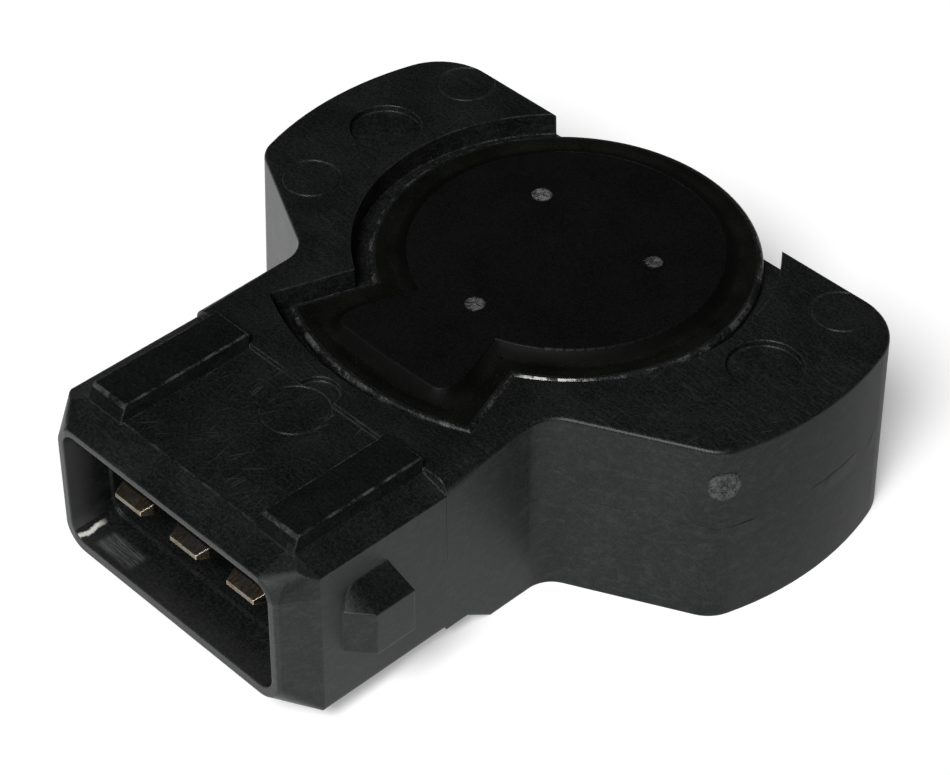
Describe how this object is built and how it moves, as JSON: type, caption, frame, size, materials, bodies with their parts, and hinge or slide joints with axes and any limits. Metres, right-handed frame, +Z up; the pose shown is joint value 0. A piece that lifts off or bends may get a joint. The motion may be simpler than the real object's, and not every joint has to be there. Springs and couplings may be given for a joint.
{
  "type": "throttle position sensor",
  "caption": "Black moulded rotary position sensor with side ears, a keyhole-shaped sealed cover, a flat-blade connector shroud and a sprung rotor with a drive socket below.",
  "frame": {"origin": "on the rotor's axis, in the mounting face, midway between the two threaded inserts", "axes": "+Z up through the cover, +X from the left ear to the right ear, the connector points to -Y"},
  "size_m": [0.0432, 0.0447, 0.0137],
  "materials": {
    "black_plastic": "satin, fine moulded grain",
    "cover_plastic": "satin",
    "resin": "gloss, olive black",
    "bronze": "tinned, worn to bronze at the edges",
    "board": "satin laminate",
    "carbon_ink": "matt printed film",
    "solder": "satin",
    "rotor_plastic": "satin",
    "spring_steel": "bright",
    "spring_bronze": "bright",
    "bush_bronze": "satin, sintered",
    "seal_rubber": "matt",
    "insert_brass": "satin"
  },
  "bodies": {
    "body": {"housing": "black_plastic", "cover_plate": "cover_plastic", "potting_resin": "resin", "terminal_left": "bronze", "terminal_middle": "bronze", "terminal_right": "bronze", "element_board": "board", "resistor_track": "carbon_ink", "collector_track": "carbon_ink", "solder_joints": "solder", "return_spring": "spring_steel", "thrust_washer": "spring_steel", "bearing_bush": "bush_bronze", "face_seal": "seal_rubber", "insert_left": "insert_brass", "insert_right": "insert_brass"},
    "rotor": {"rotor": "rotor_plastic", "drive_clip": "spring_steel", "wiper": "spring_bronze"}
  },
  "joints": [
    {"name": "rotor_turn", "type": "hinge", "parent": "body", "child": "rotor", "pos_m": [0, 0, 0], "axis": [0, 0, 1], "range_deg": [0, 90], "stiffness_Nm_per_rad": 0.006, "springref_deg": -34.38, "deforming": ["return_spring"]}
  ]
}
